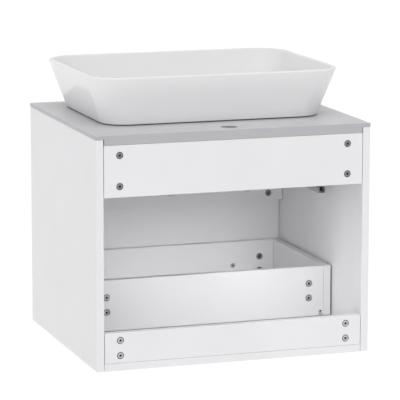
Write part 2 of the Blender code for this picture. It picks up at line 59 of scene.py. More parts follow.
# Camera: where it stands, which way it looks, and its lens on a 36 mm sensor
CAMERA_AT = (1.7337, 5.1478, 1.2820)
CAMERA_YAW = math.radians(18.7079)
CAMERA_PITCH = math.radians(10.2562)
CAMERA_ROLL = math.radians(0.0837)
CAMERA_LENS = 229.89

# Studio: glow of the floor, strength of the sky, and the brightness that a reflection sees at each
# height of its direction, from level at 0 to straight up at 1
FLOOR_GLOW = 0.70
SKY = 0.46
BANKS = ((0.0, 1.0), (0.32, 1.0), (0.44, 0.6), (0.58, 0.55), (0.72, 1.0), (0.88, 1.0), (1.0, 0.6))
WHITE = (1.0, 1.0, 1.0, 1.0)
# Suns: name, azimuth from +Y towards +X, elevation, strength, spread; angles in degrees
SUNS = (
    ("key", 38.0, 18.0, 0.44, 50.0),
    ("overhead", 8.0, 74.0, 1.22, 60.0),
)
# Fill panels for the inside and the basin's foot: name, place, aim, width, height, power, spread
FILLS = (
    ("opening_fill", (0.015, 0.246, 0.205), (0.015, 0.0, 0.205), 0.44, 0.22, 0.138, 180.0),
    ("drawer_fill", (0.01, 0.060, 0.176), (0.01, -0.223, 0.090), 0.46, 0.03, 0.117, 74.0),
    ("wall_fill", (0.02, 0.215, 0.240), (-0.28, 0.185, 0.090), 0.30, 0.04, 0.070, 120.0),
    ("base_fill", (0.0, 0.228, 0.105), (0.0, 0.095, 0.025), 0.52, 0.03, 0.050, 140.0),
    ("foot_fill", (0.04, 0.245, 0.528), (0.04, 0.148, 0.498), 0.48, 0.02, 0.008, 60.0),
)

# The basin: half sizes and corner radius at the foot and the rim
FOOT = (0.2425, 0.1752, 0.0545)
RIM = (0.2773, 0.2100, 0.0710)
BASIN_LOW, BASIN_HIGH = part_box("basin")
BASIN_Y = (BASIN_LOW[1] + BASIN_HIGH[1]) / 2
BASIN_HEIGHT = BASIN_HIGH[2] - BASIN_LOW[2]
CORNER_STEPS = 20

# Boards: the round on their edges, and the shortest edge that has it
BOARD_EASE = 0.0007
BOARD_EDGE = 0.006
# Sheet metal: the same two sizes
SHEET_EASE = 0.0003
SHEET_EDGE = 0.004

# Cams: their radius, and the boards whose cams take a darker copy of the zinc, painted shade for
# the shade they sit in
CAM_RADIUS = 0.0072
SHADED_CAMS = ("rear_top_rail", "front_mid_rail", "lower_drawer_sub_front")

DRAWERS = ("lower_drawer", "upper_drawer")
SIDES = ((-1, "left"), (1, "right"))
QUARTERS = (0.0, math.pi / 2)


# ---------------------------------------------------------------- materials


def new_material(name, colour, roughness, metallic=0.0, **sockets):
    made = bpy.data.materials.new(name)
    made.use_nodes = True
    shader = made.node_tree.nodes["Principled BSDF"]
    shader.inputs["Base Color"].default_value = (*colour, 1.0)
    shader.inputs["Roughness"].default_value = roughness
    shader.inputs["Metallic"].default_value = metallic
    for socket, value in sockets.items():
        shader.inputs[socket.replace("_", " ")].default_value = value
    return made, made.node_tree, shader


def coordinates(tree, stretch=(1, 1, 1)):
    """Object coordinates, in metres from the piece's own origin, scaled by stretch."""
    source = tree.nodes.new("ShaderNodeTexCoord")
    mapping = tree.nodes.new("ShaderNodeMapping")
    mapping.inputs["Scale"].default_value = stretch
    tree.links.new(source.outputs["Object"], mapping.inputs["Vector"])
    return mapping.outputs["Vector"]


def noise(tree, vector, scale, detail=3.0, roughness=0.5):
    made = tree.nodes.new("ShaderNodeTexNoise")
    made.inputs["Scale"].default_value = scale
    made.inputs["Detail"].default_value = detail
    made.inputs["Roughness"].default_value = roughness
    tree.links.new(vector, made.inputs["Vector"])
    return made.outputs["Fac"]


def ramp(tree, factor, stops):
    """A colour ramp; each stop is (position, colour)."""
    made = tree.nodes.new("ShaderNodeValToRGB")
    elements = made.color_ramp.elements
    while len(elements) < len(stops):
        elements.new(0.5)
    for element, (position, colour) in zip(elements, stops):
        element.position = position
        element.color = (*colour, 1.0)
    tree.links.new(factor, made.inputs["Fac"])
    return made.outputs["Color"]


def to_range(tree, factor, low, high, out_low, out_high):
    """Maps low..high onto out_low..out_high, and holds it there."""
    made = tree.nodes.new("ShaderNodeMapRange")
    limits = {"From Min": low, "From Max": high, "To Min": out_low, "To Max": out_high}
    for socket, value in limits.items():
        made.inputs[socket].default_value = value
    tree.links.new(factor, made.inputs["Value"])
    return made.outputs["Result"]


def bump(tree, shader, height, distance, strength=1.0):
    made = tree.nodes.new("ShaderNodeBump")
    made.inputs["Distance"].default_value = distance
    made.inputs["Strength"].default_value = strength
    tree.links.new(height, made.inputs["Height"])
    tree.links.new(made.outputs["Normal"], shader.inputs["Normal"])


def tinted(colour, factor):
    return tuple(min(1.0, channel * factor) for channel in colour)


def melamine():
    """White decor paper under resin: a fine pearl texture and hardly any change in colour."""
    base = (0.845, 0.845, 0.858)
    made, tree, shader = new_material("white_melamine", base, 0.42)
    where = coordinates(tree)
    broad = noise(tree, where, 9.0, 2.0)
    colour = ramp(tree, broad, [(0.3, tinted(base, 0.985)), (0.7, tinted(base, 1.012))])
    tree.links.new(colour, shader.inputs["Base Color"])
    fine = noise(tree, where, 900.0, 2.0)
    gloss = to_range(tree, fine, 0.3, 0.7, 0.36, 0.48)
    tree.links.new(gloss, shader.inputs["Roughness"])
    bump(tree, shader, noise(tree, where, 620.0, 2.0), 0.00006, 0.6)
    return made


def countertop_grey():
    """Plain pale grey with a fine grain and a soft sheen; the up-facing top is painted lighter than
    the upright faces, partly a darker edge band and partly painted light from above.
    """
    # the top tone is lighter as painted light from above; the band tone is darker, partly a real
    # edge band and partly painted shade
    top = (0.575, 0.572, 0.590)
    shaded_band = (0.488, 0.484, 0.512)
    cloud_share = 0.35
    made, tree, shader = new_material("grey_countertop", top, 0.40)
    where = coordinates(tree)
    speck = noise(tree, where, 1400.0, 2.0, 0.7)
    cloud = noise(tree, where, 14.0, 3.0)
    mixed = tree.nodes.new("ShaderNodeMath")
    mixed.operation = "MULTIPLY_ADD"
    mixed.inputs[1].default_value = cloud_share
    tree.links.new(cloud, mixed.inputs[0])
    tree.links.new(speck, mixed.inputs[2])
    lit_top_colour, shaded_band_colour = (
        ramp(
            tree,
            mixed.outputs["Value"],
            [(0.45, tinted(tone, 0.93)), (0.68, tone), (0.90, tinted(tone, 1.05))],
        )
        for tone in (top, shaded_band)
    )
    # painted light: faces that look up take the lighter top tone, as if lit from above, and upright
    # faces the darker band tone, partly a real edge band and partly painted shade
    split = tree.nodes.new("ShaderNodeSeparateXYZ")
    geometry = tree.nodes.new("ShaderNodeNewGeometry")
    tree.links.new(geometry.outputs["Normal"], split.inputs["Vector"])
    lit_top_share = to_range(tree, split.outputs["Z"], 0.55, 0.75, 0.0, 1.0)
    pick = tree.nodes.new("ShaderNodeMix")
    pick.data_type = "RGBA"
    tree.links.new(lit_top_share, pick.inputs["Factor"])
    tree.links.new(shaded_band_colour, pick.inputs["A"])
    tree.links.new(lit_top_colour, pick.inputs["B"])
    tree.links.new(pick.outputs["Result"], shader.inputs["Base Color"])
    tree.links.new(to_range(tree, speck, 0.3, 0.7, 0.34, 0.46), shader.inputs["Roughness"])
    bump(tree, shader, speck, 0.00004, 0.5)
    return made


def glaze():
    """White glaze under a clear coat, with the faint ripple that fired glaze has."""
    base = (0.880, 0.880, 0.888)
    made, tree, shader = new_material(
        "white_glaze", base, 0.35, Coat_Weight=0.55, Coat_Roughness=0.07, Specular_IOR_Level=0.1
    )
    where = coordinates(tree)
    broad = noise(tree, where, 6.0, 2.0)
    colour = ramp(tree, broad, [(0.3, tinted(base, 0.992)), (0.7, tinted(base, 1.006))])
    tree.links.new(colour, shader.inputs["Base Color"])
    rippled = noise(tree, where, 28.0, 2.0)
    bump(tree, shader, rippled, 0.0002, 0.35)
    return made


def plated_steel(name, colour, roughness, grain):
    """Plated metal: a mottled tone, and streaks drawn out where grain is small."""
    made, tree, shader = new_material(name, colour, roughness, 1.0)
    streak = noise(tree, coordinates(tree, grain), 160.0, 3.0)
    patch = noise(tree, coordinates(tree), 70.0, 3.0)
    tone = ramp(tree, patch, [(0.3, tinted(colour, 0.88)), (0.7, tinted(colour, 1.08))])
    tree.links.new(tone, shader.inputs["Base Color"])
    gloss = to_range(tree, streak, 0.3, 0.7, roughness - 0.08, roughness + 0.10)
    tree.links.new(gloss, shader.inputs["Roughness"])
    bump(tree, shader, streak, 0.00003, 0.5)
    return made


def chrome():
    """Polished plating with faint smears."""
    made, tree, shader = new_material("chrome", (0.82, 0.82, 0.84), 0.07, 1.0)
    smear = noise(tree, coordinates(tree), 45.0, 4.0)
    tree.links.new(to_range(tree, smear, 0.3, 0.7, 0.05, 0.12), shader.inputs["Roughness"])
    return made


def moulded(name, colour, roughness):
    """Moulded plastic or rubber with a spark-eroded grain; the same makes the painted shade in a
    recess or groove.
    """
    made, tree, shader = new_material(name, colour, roughness)
    where = coordinates(tree)
    grain = noise(tree, where, 1800.0, 2.0)
    tone = ramp(
        tree, noise(tree, where, 60.0), [(0.3, tinted(colour, 0.94)), (0.7, tinted(colour, 1.05))]
    )
    tree.links.new(tone, shader.inputs["Base Color"])
    tree.links.new(
        to_range(tree, grain, 0.3, 0.7, roughness - 0.06, roughness + 0.06),
        shader.inputs["Roughness"],
    )
    bump(tree, shader, grain, 0.00005, 0.6)
    return made


EVEN = (1, 1, 1)
ROLLED = (1, 0.04, 1)

FINISH = {
    "white_melamine": melamine(),
    "grey_countertop": countertop_grey(),
    "white_glaze": glaze(),
    "zinc_steel": plated_steel("zinc_steel", (0.60, 0.60, 0.61), 0.34, ROLLED),
    "chrome": chrome(),
    "grey_plastic": moulded("grey_plastic", (0.42, 0.42, 0.43), 0.48),
    "seal_rubber": moulded("seal_rubber", (0.055, 0.055, 0.058), 0.7),
}
BRIGHT_ZINC = plated_steel("cast_zinc", (0.60, 0.60, 0.61), 0.42, EVEN)
# a darker copy of the cast zinc: painted shade for the cams that sit in shade
SHADED_ZINC = plated_steel("painted_shade_cast_zinc", (0.30, 0.30, 0.31), 0.50, EVEN)
# near black for the inside of each cross recess: painted shade
RECESS_SHADE = moulded("painted_recess_shade", (0.030, 0.030, 0.033), 0.6)
# dark grey for the groove round each cam head: painted shade in the groove
GROOVE_SHADE = moulded("painted_groove_shade", (0.130, 0.130, 0.135), 0.6)


# ---------------------------------------------------------------- pieces


def loose(name, data):
    obj = bpy.data.objects.new(name, data)
    bpy.context.scene.collection.objects.link(obj)
    return obj


def piece(name, mesh, node=None, body=None, slot=None):
    """Links a new piece, rides it on a body and gives it a finish; node is what it stands for."""
    obj = loose(name, mesh)
    if node:
        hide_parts(node)
    slot = slot or SLOT[node]
    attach(obj, body or BODY[node])
    if not any(mesh.materials):
        mesh.materials.clear()
        mesh.materials.append(FINISH[slot])
        mesh.polygons.foreach_set("material_index", [0] * len(mesh.polygons))
    return obj


def soft_normals(obj, angle=40.0):
    """Smooth shading that stays crisp at sharp edges and flat on the large faces."""
    mesh = obj.data
    mesh.shade_smooth()
    mesh.set_sharp_from_angle(angle=math.radians(angle))
    modifier = obj.modifiers.new("normals", "WEIGHTED_NORMAL")
    modifier.keep_sharp = True


def eased_mesh(node, width, shortest, trim=0.0, lift=0.0):
    """A copy of the node's own solid, its edges longer than shortest rounded by width.

    trim shortens its two ends and lift raises its lower edge, so that the joints there show.
    """
    same_point = 0.000002
    same_plane = 0.00001
    mesh = bpy.data.meshes.new(node + "_eased")
    shape = bmesh.new()
    shape.from_mesh(frame["nodes"][node].data)
    bmesh.ops.remove_doubles(shape, verts=shape.verts, dist=same_point)
    end = max(vertex.co.x for vertex in shape.verts)
    foot = min(vertex.co.z for vertex in shape.verts)
    for vertex in shape.verts:
        if abs(abs(vertex.co.x) - end) < same_plane:
            vertex.co.x -= math.copysign(trim, vertex.co.x)
        if vertex.co.z - foot < same_plane:
            vertex.co.z += lift
    bmesh.ops.dissolve_limit(
        shape, angle_limit=math.radians(0.5), verts=shape.verts, edges=shape.edges
    )
    long_edges = [
        edge
        for edge in shape.edges
        if len(edge.link_faces) == 2
        and edge.calc_length() > shortest
        and edge.calc_face_angle_signed(0.0) > math.radians(40)
    ]
    bmesh.ops.bevel(
        shape,
        geom=long_edges,
        offset=width,
        segments=2,
        profile=0.5,
        affect="EDGES",
        clamp_overlap=True,
    )
    shape.to_mesh(mesh)
    shape.free()
    mesh.materials.clear()
    return mesh


def eased(node, width=BOARD_EASE, shortest=BOARD_EDGE, trim=0.0, lift=0.0):
    """A piece that stands for a node and has its shape with eased edges."""
    obj = piece(node + "_eased", eased_mesh(node, width, shortest, trim, lift), node)
    soft_normals(obj)


def lathe(name, profile, steps=96):
    """A closed mesh turned about +Z from (radius, z) points; a point with radius 0 is a tip."""
    mesh = bpy.data.meshes.new(name)
    shape = bmesh.new()
    turn = 2 * math.pi / steps
    rows = []
    for radius, z in profile:
        count = steps if radius else 1
        rows.append(
            [
                shape.verts.new((radius * math.cos(i * turn), radius * math.sin(i * turn), z))
                for i in range(count)
            ]
        )
    for row, after in zip(rows, rows[1:] + rows[:1]):
        for i in range(steps):
            j = (i + 1) % steps
            near = (row[i % len(row)], row[j % len(row)])
            far = (after[j % len(after)], after[i % len(after)])
            corners = list(dict.fromkeys(near + far))
            if len(corners) > 2:
                shape.faces.new(corners)
    bmesh.ops.recalc_face_normals(shape, faces=shape.faces)
    shape.to_mesh(mesh)
    shape.free()
    return mesh


def boolean(obj, operation, other):
    modifier = obj.modifiers.new(operation, "BOOLEAN")
    modifier.operation = operation
    modifier.object = other
    modifier.solver = "EXACT"
    modifier.material_mode = "TRANSFER"


def baked(obj):
    """The object's mesh with its modifiers applied; the object and its helpers go."""
    bpy.context.view_layer.update()
    graph = bpy.context.evaluated_depsgraph_get()
    mesh = bpy.data.meshes.new_from_object(obj.evaluated_get(graph))
    helpers = [m.object for m in obj.modifiers if m.type == "BOOLEAN"]
    for old in (obj, *helpers):
        bpy.data.objects.remove(old, do_unlink=True)
    return mesh


def block(name, low, high, material=None):
    """A loose box between two corners, to cut or join with."""
    mesh = bpy.data.meshes.new(name)
    shape = bmesh.new()
    bmesh.ops.create_cube(shape, size=1.0)
    low, high = Vector(low), Vector(high)
    bmesh.ops.scale(shape, vec=high - low, verts=shape.verts)
    bmesh.ops.translate(shape, vec=(low + high) / 2, verts=shape.verts)
    shape.to_mesh(mesh)
    shape.free()
    if material:
        mesh.materials.append(material)
    return loose(name, mesh)


def cross_headed(name, profile, arm, width, depth, finish):
    """A turned head, its face towards +Z at z = 0, with a tapered cross cut in it."""
    arm_taper, width_taper = 0.62, 0.8
    clear = 0.004
    mesh = lathe(name, profile, 48)
    mesh.materials.append(finish)
    head = loose(name, mesh)
    for turn in QUARTERS:
        low = (-arm / 2, -width / 2, -depth)
        high = (arm / 2, width / 2, clear)
        # the faces that the cutter leaves take its near-black colour, a painted shade in the cross
        cutter = block("cutter", low, high, RECESS_SHADE)
        for vertex in cutter.data.vertices:
            if vertex.co.z < 0:
                vertex.co.x *= arm_taper
                vertex.co.y *= width_taper
        cutter.rotation_euler.z = turn
        boolean(head, "DIFFERENCE", cutter)
    return baked(head)


def cam_mesh(name, finish):
    """The head of a cam: a rim, a groove and a cross for the driver."""
    chamfer = 0.0004
    crown, groove_inner, groove_outer = 0.0055, 0.0059, CAM_RADIUS - 0.0003
    groove_floor = -0.0030
    foot = -0.0119
    profile = [
        (0.0, 0.0),
        (crown, 0.0),
        (groove_inner, -chamfer),
        (groove_inner, groove_floor),
        (groove_outer, groove_floor),
        (CAM_RADIUS, groove_floor - 0.0003),
        (CAM_RADIUS, foot + chamfer),
        (CAM_RADIUS - chamfer, foot),
        (0.0, foot),
    ]
    mesh = cross_headed(name, profile, 0.0064, 0.0032, 0.0040, finish)
    # the faces of the groove take the darker colour, a painted shade
    mesh.materials.append(GROOVE_SHADE)
    for face in mesh.polygons:
        outside = face.center.xy.length > crown + 0.0002
        if outside and groove_floor - chamfer < face.center.z < -chamfer - 0.0002:
            face.material_index = len(mesh.materials) - 1
    return mesh


def cams():
    """Die-cast cams; on the boards in shade they take a darker copy of the zinc, a painted shade.
    """
    bright = cam_mesh("bright_cam", BRIGHT_ZINC)
    shaded = cam_mesh("shaded_cam", SHADED_ZINC)
    for node in sorted(SLOT):
        if "_cam_" not in node:
            continue
        low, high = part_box(node)
        # the cam is the wide end of its node, away from the end of the bolt
        middle = low[0] + CAM_RADIUS if abs(low[0]) < abs(high[0]) else high[0] - CAM_RADIUS
        obj = piece(node + "_head", shaded if node.startswith(SHADED_CAMS) else bright, node)
        # each cam is left at a turn of its own, which its place decides
        turn = 0.35 + 0.9 * math.sin(37.0 * middle + 113.0 * high[2] + 17.0 * low[1])
        obj.matrix_world = (
            Matrix.Translation((middle, high[1], (low[2] + high[2]) / 2))
            @ Matrix.Rotation(-math.pi / 2, 4, "X")
            @ Matrix.Rotation(turn, 4, "Z")
        )
        soft_normals(obj)


def rounded_ring(half_x, half_y, radius, z, steps):
    """Points of a rectangle with rounded corners, at height z."""
    points = []
    for corner in range(4):
        side_x = 1 if corner in (0, 3) else -1
        side_y = 1 if corner in (0, 1) else -1
        for step in range(steps + 1):
            angle = math.pi / 2 * (corner + step / steps)
            x = side_x * (half_x - radius) + radius * math.cos(angle)
            y = side_y * (half_y - radius) + radius * math.sin(angle)
            points.append((x, y, z))
    return points


def loft(name, rings):
    """A closed skin over rings of equal count, the last one joined to the first."""
    mesh = bpy.data.meshes.new(name)
    shape = bmesh.new()
    rows = [[shape.verts.new(point) for point in ring] for ring in rings]
    for row, after in zip(rows, rows[1:] + rows[:1]):
        for i in range(len(row)):
            j = (i + 1) % len(row)
            shape.faces.new((row[i], row[j], after[j], after[i]))
    bmesh.ops.recalc_face_normals(shape, faces=shape.faces)
    shape.to_mesh(mesh)
    shape.free()
    return mesh


def inset_section(section, inset):
    return tuple(size - inset for size in section)


def between(low, high, share):
    return tuple(a + (b - a) * share for a, b in zip(low, high))


def quarter_turns(count):
    """Angles from 0 to a quarter turn, in count equal steps."""
    return [i / count * math.pi / 2 for i in range(count + 1)]


def basin():
    """The vessel: straight flared walls, a thin rounded rim and a dished floor to the drain."""
    wall = 0.0100
    foot_round = 0.003
    floor_z = 0.0135
    bend_radius = 0.026
    drain_z = 0.011
    drain_radius = 0.023
    drain_lip = 0.001
    underside = 0.004
    foot_ring = 0.022
    foot_ring_slope = 0.002

    rings = []

    def add(section, height):
        rings.append(rounded_ring(*section, height, CORNER_STEPS))

    # the foot's round, the outer wall, the rim and the inner wall
    for turn in quarter_turns(6):
        inset = foot_round * (1 - math.sin(turn))
        add(inset_section(FOOT, inset), foot_round * (1 - math.cos(turn)))
    top = between(FOOT, RIM, 1 - foot_round / BASIN_HEIGHT)
    for share in (0.25, 0.5, 0.75):
        height = foot_round + share * (BASIN_HEIGHT - 2 * foot_round)
        add(between(FOOT, top, share), height)
    rim_steps = 12
    for i in range(rim_steps + 1):
        turn = i / rim_steps * math.pi
        inset = wall / 2 * (1 - math.cos(turn))
        add(inset_section(top, inset), BASIN_HEIGHT - foot_round * (1 - math.sin(turn)))
    bend_z = floor_z + bend_radius
    bend = inset_section(between(FOOT, RIM, bend_z / BASIN_HEIGHT), wall)
    inner_top = inset_section(top, wall)
    for share in (0.33, 0.66):
        height = (BASIN_HEIGHT - foot_round) * (1 - share) + bend_z * share
        add(between(inner_top, bend, share), height)

    # the bend into the floor, and the floor, which falls from a rounded rectangle to a circle
    for turn in quarter_turns(8):
        inset = bend_radius * (1 - math.cos(turn))
        add(inset_section(bend, inset), bend_z - bend_radius * math.sin(turn))
    floor = rings[-1]
    step = 2 * math.pi / len(floor)
    circle = [(math.cos((i + 0.5) * step), math.sin((i + 0.5) * step)) for i in range(len(floor))]
    for share in (0.3, 0.6, 0.85):
        height = floor_z + (drain_z - floor_z) * share
        rings.append(
            [
                (
                    x + (drain_radius * cx - x) * share,
                    y + (drain_radius * cy - y) * share,
                    height,
                )
                for (x, y, _), (cx, cy) in zip(floor, circle)
            ]
        )
    for radius, height in (
        (drain_radius + drain_lip, drain_z),
        (drain_radius, drain_z - drain_lip),
        (drain_radius, underside),
    ):
        rings.append([(radius * cx, radius * cy, height) for cx, cy in circle])

    # the hollow underside and the foot ring
    add(inset_section(FOOT, foot_round + foot_ring + foot_ring_slope), underside)
    add(inset_section(FOOT, foot_round + foot_ring), 0.0)
    obj = piece("vessel", loft("vessel", rings), "basin")
    obj.location = (0, BASIN_Y, BASIN_LOW[2])
    soft_normals(obj, 50)


def basin_seal():
    """The bead under the foot ring, drawn in at half its height."""
    low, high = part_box("basin_seal")
    height = high[2] - low[2]
    outer = inset_section(FOOT, FOOT[0] - high[0])
    width = 0.008
    hollow = 0.0009
    steps = 6
    sections = [
        (hollow * math.sin(i / steps * math.pi), i / steps * height) for i in range(steps + 1)
    ]
    sections += [(width, height), (width, 0.0)]
    rings = [rounded_ring(*inset_section(outer, inset), z, CORNER_STEPS) for inset, z in sections]
    obj = piece("seal_bead", loft("seal_bead", rings), "basin_seal")
    obj.location = (0, BASIN_Y, low[2])
    soft_normals(obj)


def turned(name, mesh, node, angle=40.0):
    """A piece of the waste, its mesh made about the drain's own axis."""
    obj = piece(name, mesh, node)
    obj.location = (0, BASIN_Y, 0)
    soft_normals(obj, angle)


def waste_tube():
    """The flanged tube with its thread, and the cross inside that carries the plug."""
    low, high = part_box("waste_body")
    top = high[2]
    bottom = low[2]
    tube = 0.0205
    bore = 0.0185
    flange = 0.0030
    thread_top = top - 0.0330
    thread_depth = 0.0009
    pitch = 0.0023
    profile = [
        (bore, top - flange),
        (bore + 0.0004, top - 0.0018),
        (bore + 0.0016, top - 0.0008),
        (bore + 0.0034, top - 0.0002),
        (bore + 0.0055, top),
        (0.0296, top),
        (0.0308, top - 0.0002),
        (0.0316, top - 0.0008),
        (0.0320, top - 0.0017),
        (0.0318, top - 0.0026),
        (0.0313, top - flange),
        (tube, top - flange),
        (tube, thread_top),
    ]
    z = thread_top - 0.0005
    while z > bottom + pitch:
        profile += [(tube, z), (tube - thread_depth, z - pitch / 2)]
        z -= pitch
    profile += [(tube - 0.0006, bottom + 0.0004), (tube - 0.0010, bottom), (bore, bottom)]
    body = loose("waste", lathe("waste", profile))

    boss_bore, boss_radius = 0.0051, 0.0075
    boss_low, boss_high = 0.4770, 0.4900
    chamfer = 0.0005
    boss_profile = [
        (boss_bore, boss_low),
        (boss_radius, boss_low),
        (boss_radius, boss_high - chamfer),
        (boss_radius - chamfer, boss_high),
        (boss_bore, boss_high),
    ]
    boss = loose("boss", lathe("boss", boss_profile, 48))
    arm_half = 0.0018
    arm_low, arm_high = 0.4780, 0.4840
    for turn in QUARTERS:
        for side, _ in SIDES:
            near, far = sorted((side * (boss_radius - 0.0005), side * (bore + 0.0008)))
            arm = block("arm", (near, -arm_half, arm_low), (far, arm_half, arm_high))
            arm.rotation_euler.z = turn
            boolean(boss, "UNION", arm)
    boolean(body, "UNION", loose("spider", baked(boss)))
    turned("waste_tube", baked(body), "waste_body", 35)


def waste_plug():
    """The domed cap with its gasket and stem."""
    low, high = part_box("waste_plug")
    top = high[2]
    foot = low[2]
    radius = 0.0280
    under = top - 0.0036
    gasket = under - 0.0007
    stem = 0.0045
    profile = [
        (radius * share, top - 0.0007 * share * share) for share in (0, 0.2, 0.4, 0.6, 0.8, 0.93)
    ]
    profile += [
        (radius - 0.0005, top - 0.0010),
        (radius, top - 0.0017),
        (radius, under + 0.0006),
        (radius - 0.0006, under),
        (radius - 0.0030, under - 0.0002),
        (0.0250, gasket),
        (0.0236, gasket),
        (0.0230, under - 0.0002),
        (0.0070, under - 0.0002),
        (stem, under - 0.0024),
        (stem, foot + 0.0010),
        (stem - 0.0009, foot),
        (0.0, foot),
    ]
    turned("waste_plug_cap", lathe("waste_plug_cap", profile), "waste_plug", 35)


def waste_washer():
    """The rubber ring between the countertop's underside and the nut."""
    low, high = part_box("waste_washer")
    inner, outer = 0.0213, 0.0340
    chamfer = 0.0006
    profile = [
        (inner, low[2]),
        (outer - chamfer, low[2]),
        (outer, low[2] + chamfer),
        (outer, high[2] - chamfer),
        (outer - chamfer, high[2]),
        (inner, high[2]),
    ]
    turned("washer_ring", lathe("washer_ring", profile), "waste_washer")


def waste_nut():
    """The CAD's own nut, its corners turned down to a chamfer at both faces."""
    low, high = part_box("waste_nut")
    over = 0.0001
    half = (high[2] - low[2]) / 2
    face_radius, corner_radius = 0.0278, 0.0320
    chamfer = 0.0026
    profile = [
        (0.0, -half - over),
        (face_radius, -half - over),
        (corner_radius, -half + chamfer),
        (corner_radius, half - chamfer),
        (face_radius, half + over),
        (0.0, half + over),
    ]
    nut = loose("nut", eased_mesh("waste_nut", 0.0004, BOARD_EDGE))
    envelope = loose("turned", lathe("turned", profile))
    envelope.location = (0, BASIN_Y, (low[2] + high[2]) / 2)
    boolean(nut, "INTERSECT", envelope)
    obj = piece("back_nut", baked(nut), "waste_nut")
    soft_normals(obj)


def screw_mesh(name, radius, rise):
    """A pan head with a cross, its seat at z = -rise and its crown at z = 0."""
    profile = [
        (0.0, 0.0),
        (radius * 0.45, -rise * 0.04),
        (radius * 0.75, -rise * 0.22),
        (radius * 0.93, -rise * 0.55),
        (radius, -rise * 0.85),
        (radius, -rise),
        (0.0, -rise),
    ]
    arm, width, depth = radius * 0.95, radius * 0.26, rise * 0.75
    return cross_headed(name, profile, arm, width, depth, FINISH["zinc_steel"])


def screw(name, mesh, place, facing, body, turn):
    obj = piece(name, mesh, body=body, slot="zinc_steel")
    spin = Vector(facing).to_track_quat("Z", "Y").to_matrix().to_4x4()
    obj.matrix_world = Matrix.Translation(place) @ spin @ Matrix.Rotation(turn, 4, "Z")
    soft_normals(obj)


def front_screws():
    """The screws that hold each drawer front, seen on the inner face of its sub-front."""
    rise = 0.0022
    from_middle = 0.164
    above_edge = 0.0565
    mesh = screw_mesh("front_screw", 0.0056, rise)
    for drawer in DRAWERS:
        low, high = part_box(drawer + "_sub_front")
        for side, name in SIDES:
            place = (side * from_middle, high[1] + rise, low[2] + above_edge)
            screw(f"{drawer}_front_screw_{name}", mesh, place, (0, 1, 0), drawer, 0.9 * side)


def hook_tab(drawer, name, side):
    """The end of a drawer runner: a strip under the back that turns up and into its hole."""
    low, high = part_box(f"{drawer}_{name}_side")
    rear = high[1]
    bottom = low[2]
    sheet = 0.0010
    half_width = 0.0034
    from_middle = 0.256
    path = [
        (rear - 0.0180, bottom - 0.0014),
        (rear + 0.0010, bottom - 0.0014),
        (rear + 0.0018, bottom - 0.0008),
        (rear + 0.0020, bottom + 0.0002),
        (rear + 0.0020, bottom + 0.0066),
        (rear + 0.0014, bottom + 0.0075),
        (rear + 0.0004, bottom + 0.0078),
        (rear - 0.0060, bottom + 0.0078),
    ]
    corners = ((-half_width, 0), (half_width, 0), (half_width, sheet), (-half_width, sheet))
    mesh = bpy.data.meshes.new("hook_tab")
    shape = bmesh.new()
    rows = []
    for i, (y, z) in enumerate(path):
        before = Vector(path[max(i - 1, 0)])
        after = Vector(path[min(i + 1, len(path) - 1)])
        along = (after - before).normalized()
        rows.append(
            [
                shape.verts.new((x, y - along.y * lift, z + along.x * lift))
                for x, lift in corners
            ]
        )
    for row, after in zip(rows, rows[1:]):
        for i in range(4):
            j = (i + 1) % 4
            shape.faces.new((row[i], row[j], after[j], after[i]))
    shape.faces.new(rows[0])
    shape.faces.new(rows[-1])
    bmesh.ops.recalc_face_normals(shape, faces=shape.faces)
    shape.to_mesh(mesh)
    shape.free()
    obj = piece(f"{drawer}_{name}_hook_tab", mesh, body=drawer, slot="zinc_steel")
    obj.location.x = side * from_middle
    soft_normals(obj, 50)


def countertop():
    """The slab, with the room at the rear of each rebate where it stands off the side panel."""
    low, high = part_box("countertop")
    panel_low, panel_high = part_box("right_side_panel")
    inner = panel_low[0]
    room_width = 0.0020
    room_length = 0.060
    over = 0.002
    slab = loose("slab", eased_mesh("countertop", BOARD_EASE, BOARD_EDGE))
    for side, _ in SIDES:
        near, far = sorted((side * (inner - room_width), side * (inner + 0.0002)))
        room = block(
            "room",
            (near, high[1] - room_length, low[2] - over),
            (far, high[1] + over, panel_high[2]),
        )
        boolean(slab, "DIFFERENCE", room)
    obj = piece("countertop_slab", baked(slab), "countertop")
    soft_normals(obj)


def drawer_runner(drawer, name):
    """The folded member under a drawer, cut off where its CAD hook gives way to the bent tab."""
    node = f"{drawer}_{name}_drawer_runner"
    low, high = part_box(node)
    cut_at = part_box(f"{drawer}_{name}_side")[1][1] - 0.0162
    folded = loose("folded", eased_mesh(node, SHEET_EASE, SHEET_EDGE))
    beyond = (high[0], high[1] + 1.0, high[2] + 0.01)
    boolean(folded, "DIFFERENCE", block("pin", (low[0], cut_at, low[2]), beyond))
    obj = piece(node + "_folded", baked(folded), node)
    soft_normals(obj)


def fixed_runner(drawer, name, side, screw_head, rise):
    """The folded member on the side panel: three screws, each between two slots."""
    node = f"{drawer}_{name}_fixed_runner"
    low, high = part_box(node)
    flange = side * (max(abs(low[0]), abs(high[0])) - 0.0012)
    height = high[2] - 0.0100
    slot_radius, slot_reach, slot_stretch = 0.0026, 0.004, 1.7
    slot_profile = [
        (0.0, -slot_reach),
        (slot_radius, -slot_reach),
        (slot_radius, slot_reach),
        (0.0, slot_reach),
    ]
    places = [low[1] + reach for reach in (0.037, 0.133, 0.229)]
    fixed = loose("fixed", eased_mesh(node, SHEET_EASE, SHEET_EDGE))
    for y in places:
        for offset in (-0.013, 0.013):
            hole = loose("hole", lathe("hole", slot_profile, 24))
            hole.rotation_euler.y = math.pi / 2
            hole.scale.y = slot_stretch
            hole.location = (flange, y + offset, height)
            boolean(fixed, "DIFFERENCE", hole)
    obj = piece(node + "_folded", baked(fixed), node)
    soft_normals(obj)
    for i, y in enumerate(places):
        place = (flange - side * rise, y, height)
        screw(f"{node}_screw_{i + 1}", screw_head, place, (-side, 0, 0), BODY[node], 0.7 * i)


